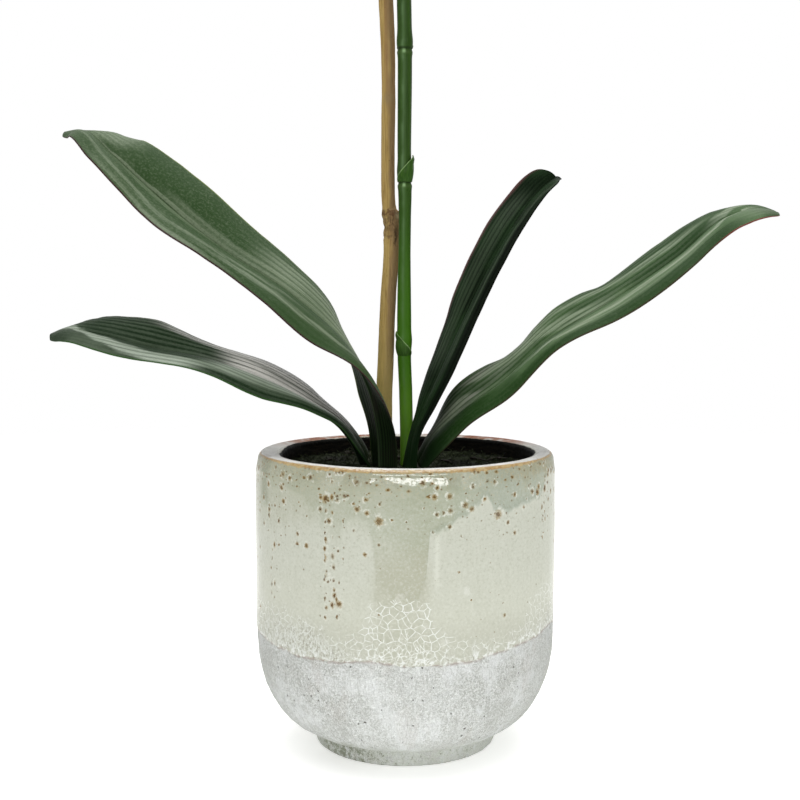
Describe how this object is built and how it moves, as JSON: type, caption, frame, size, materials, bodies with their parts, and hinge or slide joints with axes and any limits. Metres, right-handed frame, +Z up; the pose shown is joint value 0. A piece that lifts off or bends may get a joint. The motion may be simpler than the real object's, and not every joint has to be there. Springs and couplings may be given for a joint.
{
  "type": "potted orchid",
  "caption": "Moth orchid with long strap leaves and a flower spike held to a wooden stake, growing in a round-bottomed glazed stoneware pot with a crackled, bare lower band.",
  "frame": {"origin": "centre of the pot's foot, on the surface it stands on", "axes": "+Z up along the pot's axis; -Y is the front the picture shows, +X its right"},
  "size_m": [0.3722, 0.1871, 0.5802],
  "materials": {
    "pot_glaze": "pale yellow-green gloss glaze with grey-green runs, rust pits and crackle over a rough white lower part",
    "planting_mix": "damp dark bark and moss",
    "leaf_green": "satin mid green with pale lengthwise veins and a thin red-purple edge",
    "leaf_dark_green": "satin very dark green",
    "crown_green": "pale green stem",
    "spike_green": "glossy saturated green",
    "bract_green": "satin green scale",
    "stake_wood": "dry tan cane with dark streaks",
    "clip_plastic": "satin green plastic",
    "petal_white": "soft white with faint veins",
    "sepal_white": "soft white, greenish towards the tip",
    "lip_rose": "rose with a yellow throat",
    "column_cream": "cream column on a pale green stalk",
    "bud_green": "yellow-green with a blush"
  },
  "bodies": {
    "root": {"pot": "pot_glaze", "planting_mix": "planting_mix", "crown": "crown_green", "flower_spike": "spike_green", "stake": "stake_wood", "clip_lower": "clip_plastic", "clip_upper": "clip_plastic", "bract_lower": "bract_green", "bract_middle": "bract_green", "bract_upper": "bract_green", "leaf_upper_left": "leaf_green", "leaf_lower_left": "leaf_green", "leaf_lower_right": "leaf_green", "leaf_upper_right": "leaf_dark_green", "bud_1": "bud_green", "bud_2": "bud_green", "bud_3": "bud_green", "bloom_1_sepal_top": "sepal_white", "bloom_1_sepal_left": "sepal_white", "bloom_1_sepal_right": "sepal_white", "bloom_1_petal_left": "petal_white", "bloom_1_petal_right": "petal_white", "bloom_1_lip": "lip_rose", "bloom_1_column": "column_cream", "bloom_2_sepal_top": "sepal_white", "bloom_2_sepal_left": "sepal_white", "bloom_2_sepal_right": "sepal_white", "bloom_2_petal_left": "petal_white", "bloom_2_petal_right": "petal_white", "bloom_2_lip": "lip_rose", "bloom_2_column": "column_cream", "bloom_3_sepal_top": "sepal_white", "bloom_3_sepal_left": "sepal_white", "bloom_3_sepal_right": "sepal_white", "bloom_3_petal_left": "petal_white", "bloom_3_petal_right": "petal_white", "bloom_3_lip": "lip_rose", "bloom_3_column": "column_cream", "bloom_4_sepal_top": "sepal_white", "bloom_4_sepal_left": "sepal_white", "bloom_4_sepal_right": "sepal_white", "bloom_4_petal_left": "petal_white", "bloom_4_petal_right": "petal_white", "bloom_4_lip": "lip_rose", "bloom_4_column": "column_cream"}
  },
  "joints": []
}
